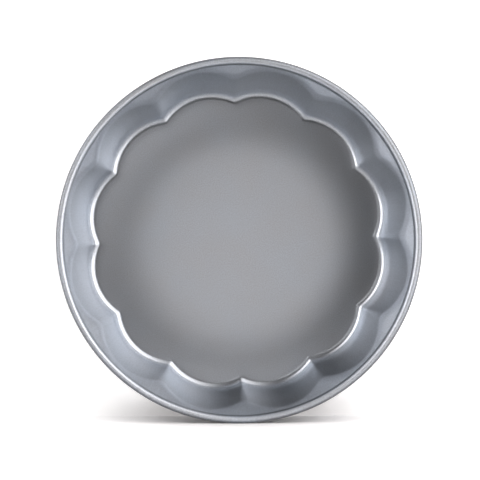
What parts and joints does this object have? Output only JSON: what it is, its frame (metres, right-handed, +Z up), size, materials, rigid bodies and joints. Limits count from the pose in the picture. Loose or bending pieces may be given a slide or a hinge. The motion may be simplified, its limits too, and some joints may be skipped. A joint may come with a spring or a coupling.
{
  "type": "cake pan",
  "caption": "Round steel cake pan with a flat flower-shaped floor, fluted wall, flared upper band and an outward rolled rim over a wire hoop.",
  "frame": {"origin": "centre of the flat underside, on the surface that the pan stands on", "axes": "+Z up, out of the pan's open mouth; the vertical planes through X and Y each run along a ridge between two flutes"},
  "size_m": [0.26, 0.26, 0.055],
  "materials": {
    "nonstick_coating": "satin metallic grey non-stick coating baked on steel sheet, with a fine flake",
    "galvanised_wire": "drawn and galvanised, dull"
  },
  "bodies": {
    "root": {"pan_shell": "nonstick_coating", "rim_wire": "galvanised_wire"}
  },
  "joints": []
}
